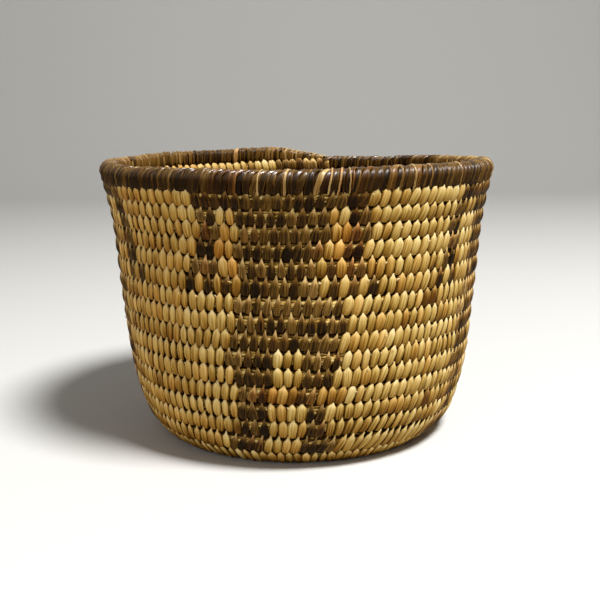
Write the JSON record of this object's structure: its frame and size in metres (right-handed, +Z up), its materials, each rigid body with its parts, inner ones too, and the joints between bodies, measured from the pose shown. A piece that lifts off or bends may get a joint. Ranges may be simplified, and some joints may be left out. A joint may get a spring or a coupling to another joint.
{
  "type": "coiled basket",
  "caption": "Round, steep-sided coiled basket with a flat base, a thick dark-bound rim and dark standing figures sewn round the wall.",
  "frame": {"origin": "middle of the flat underside", "axes": "+Z up along the basket's axis; the front, with one whole figure, faces -Y"},
  "size_m": [0.1262, 0.1263, 0.0909],
  "materials": {
    "foundation": "dry split grass, matte, pale yellow",
    "light_splint": "scraped willow splint, golden tan, satin",
    "dark_splint": "black-brown seed pod splint, satin"
  },
  "bodies": {
    "root": {"start_knot": "foundation", "base_coil": "light_splint", "wall_coil": "light_splint", "rim_coil": "dark_splint", "figure_1": "dark_splint", "figure_2": "dark_splint", "figure_3": "dark_splint", "figure_4": "dark_splint"}
  },
  "joints": []
}
